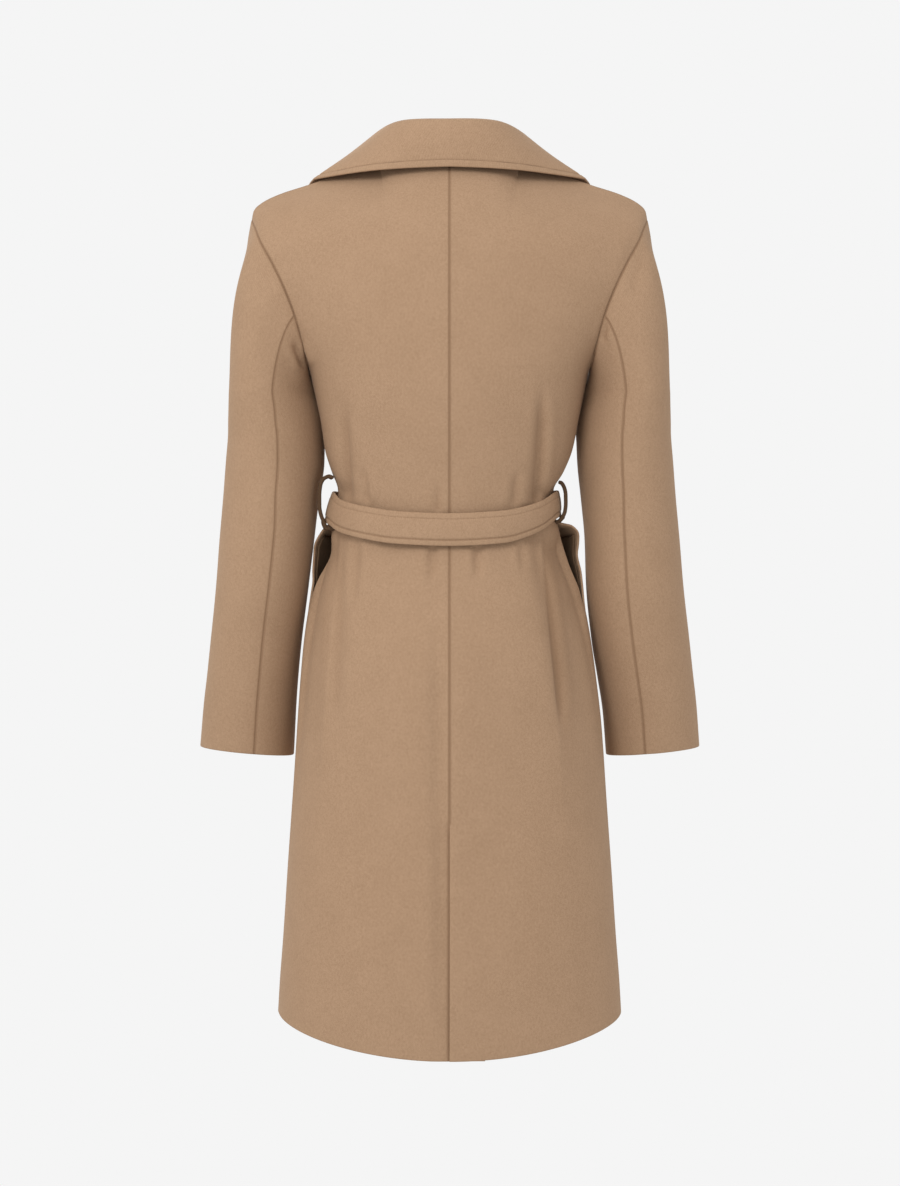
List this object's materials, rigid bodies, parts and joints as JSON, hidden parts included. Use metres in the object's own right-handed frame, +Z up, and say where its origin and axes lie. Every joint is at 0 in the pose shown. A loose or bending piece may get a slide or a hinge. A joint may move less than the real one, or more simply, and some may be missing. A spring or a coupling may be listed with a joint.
{
  "type": "wool wrap coat",
  "caption": "Knee-length camel wool wrap coat with notched collar, long sleeves, side-seam pockets, back vent and tied self belt, filled out as worn.",
  "frame": {"origin": "base of the neck, on the wearer's centre line, level with the two side neck points of the shoulder seams", "axes": "+Z up along the wearer, +Y out of the back, -Y out of the front, +X towards the wearer's left"},
  "size_m": [0.556, 0.2887, 1.0152],
  "materials": {
    "coat_wool": "felted camel wool coating with a short nap",
    "belt": "the same felted camel wool, two layers, stitched near its edges",
    "pocket_lining": "plain woven pocket lining"
  },
  "bodies": {
    "root": {"back_left": "coat_wool", "back_right": "coat_wool", "front_left": "coat_wool", "front_right": "coat_wool", "sleeve_upper_left": "coat_wool", "sleeve_under_left": "coat_wool", "sleeve_upper_right": "coat_wool", "sleeve_under_right": "coat_wool", "collar": "coat_wool", "pocket_left": "pocket_lining", "pocket_right": "pocket_lining", "belt_band": "belt", "belt_knot": "belt", "belt_end_left": "belt", "belt_end_right": "belt", "belt_loop_left": "belt", "belt_loop_right": "belt"}
  },
  "joints": []
}
